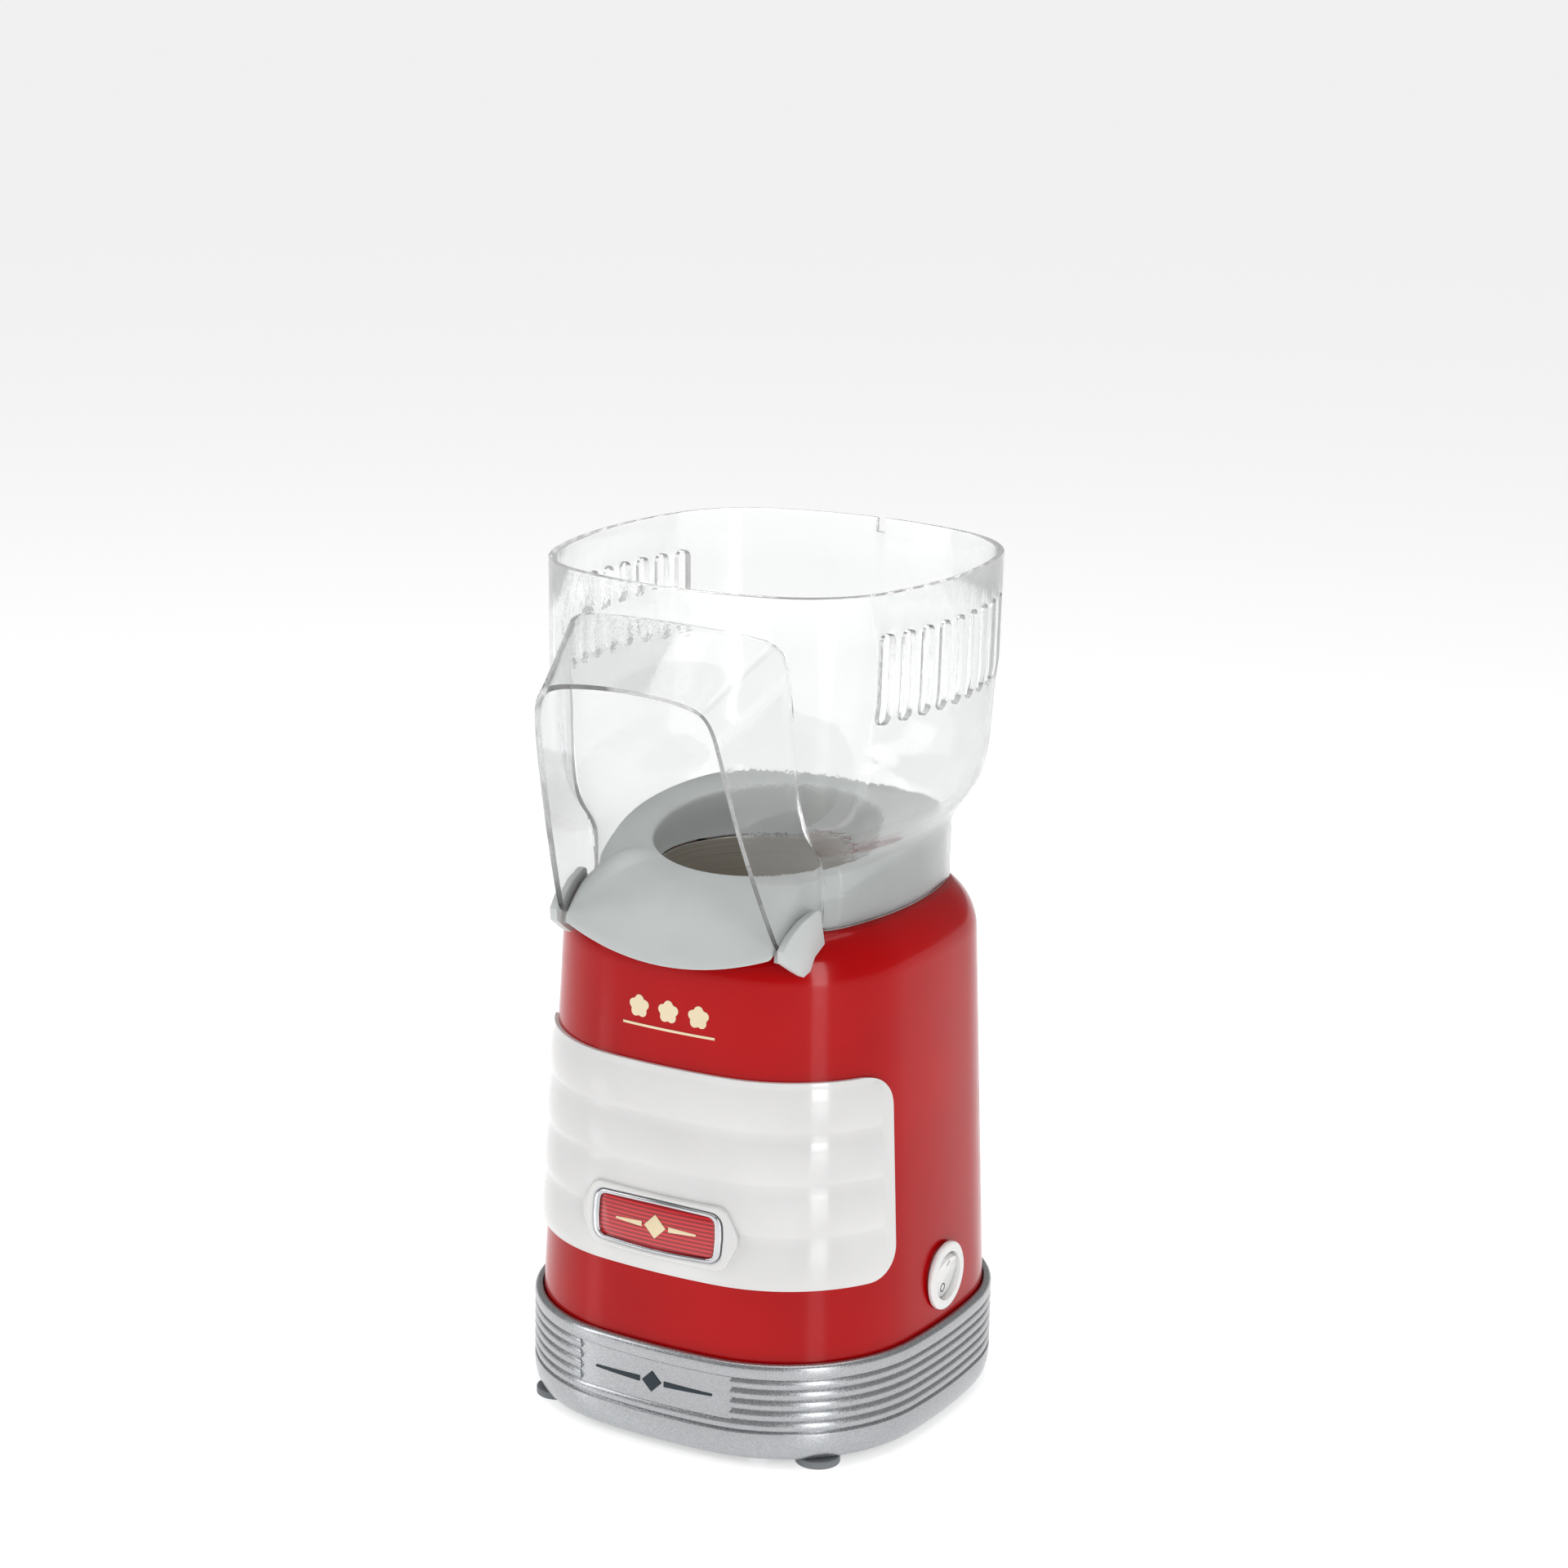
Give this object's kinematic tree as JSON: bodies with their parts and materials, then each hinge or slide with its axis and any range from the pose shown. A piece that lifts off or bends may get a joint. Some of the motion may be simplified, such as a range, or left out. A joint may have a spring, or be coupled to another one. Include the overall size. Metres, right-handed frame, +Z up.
{
  "type": "hot-air popcorn maker",
  "caption": "Table-top hot-air popcorn maker: rounded-square body on a ribbed base ring, clear open-topped hood with a front chute, grey chute tray and a round rocker switch.",
  "frame": {"origin": "on the table, in the middle of the footprint of the whole object, chute included", "axes": "+Z up, the chute and badge face -Y, the switch is on +X"},
  "size_m": [0.1428, 0.1662, 0.285],
  "materials": {
    "red_shell": "gloss",
    "white_trim": "gloss",
    "chrome_trim": "polished",
    "red_plate": "gloss",
    "cream_print": "satin",
    "silver_base": "satin metallic",
    "dark_print": "satin",
    "black_plastic": "satin",
    "foot_rubber": "matt",
    "clear_hood": "clear",
    "grey_tray": "satin",
    "switch_white": "gloss",
    "steel": "brushed",
    "chamber_metal": "satin",
    "duct_steel": "satin",
    "silicone": "matt",
    "mica": "satin",
    "heater_wire": "oxidised",
    "brass": "satin",
    "dark_housing": "satin",
    "fan_nylon": "satin",
    "motor_steel": "satin",
    "bronze": "sintered",
    "ferrite": "matt",
    "carbon": "matt",
    "copper": "enamelled",
    "circuit_board": "satin",
    "wire_blue": "satin",
    "wire_brown": "satin",
    "wire_red": "satin"
  },
  "bodies": {
    "base": {"housing": "red_shell", "front_panel": "white_trim", "badge_bezel": "white_trim", "badge_frame": "chrome_trim", "badge_plate": "red_plate", "badge_emblem": "cream_print", "front_ornament": "cream_print", "base_ring": "silver_base", "base_emblem": "dark_print", "base_plate": "black_plastic", "feet": "foot_rubber", "switch_bezel": "switch_white", "rocker_pin": "steel", "switch_body": "black_plastic", "switch_terminals": "brass", "popping_chamber": "chamber_metal", "chamber_seal": "silicone", "heat_duct": "duct_steel", "mica_tube": "mica", "mica_cross": "mica", "heater_coil": "heater_wire", "heater_terminals": "brass", "thermostat": "black_plastic", "thermal_fuse": "steel", "fan_housing": "dark_housing", "motor_can": "motor_steel", "motor_end_cap": "black_plastic", "motor_bushings": "bronze", "motor_magnets": "ferrite", "motor_brushes": "carbon", "rectifier_board": "circuit_board", "rectifier_diodes": "black_plastic", "lead_switch": "wire_blue", "lead_heater": "wire_brown", "lead_motor": "wire_red", "cord_gland": "black_plastic", "base_screws": "steel", "chamber_screws": "steel", "motor_screws": "steel"},
    "rocker": {"rocker": "switch_white"},
    "rotor": {"motor_shaft": "steel", "motor_armature": "motor_steel", "motor_windings": "copper", "motor_commutator": "copper", "fan": "fan_nylon"},
    "tray": {"chute_tray": "grey_tray"},
    "hood": {"hood": "clear_hood"}
  },
  "joints": [
    {"name": "rocker_tilt", "type": "hinge", "parent": "base", "child": "rocker", "pos_m": [0.06597, 0.0109, 0.051], "axis": [0, -1, 0], "range_deg": [0, 24]},
    {"name": "fan_spin", "type": "hinge", "parent": "base", "child": "rotor", "pos_m": [0, 0.0079, 0.03], "axis": [0, 0, 1], "continuous": true},
    {"name": "tray_lift", "type": "slide", "parent": "base", "child": "tray", "axis": [0, 0, 1], "range_m": [0, 0.06]},
    {"name": "hood_lift", "type": "slide", "parent": "tray", "child": "hood", "axis": [0, 0, 1], "range_m": [0, 0.12]}
  ]
}
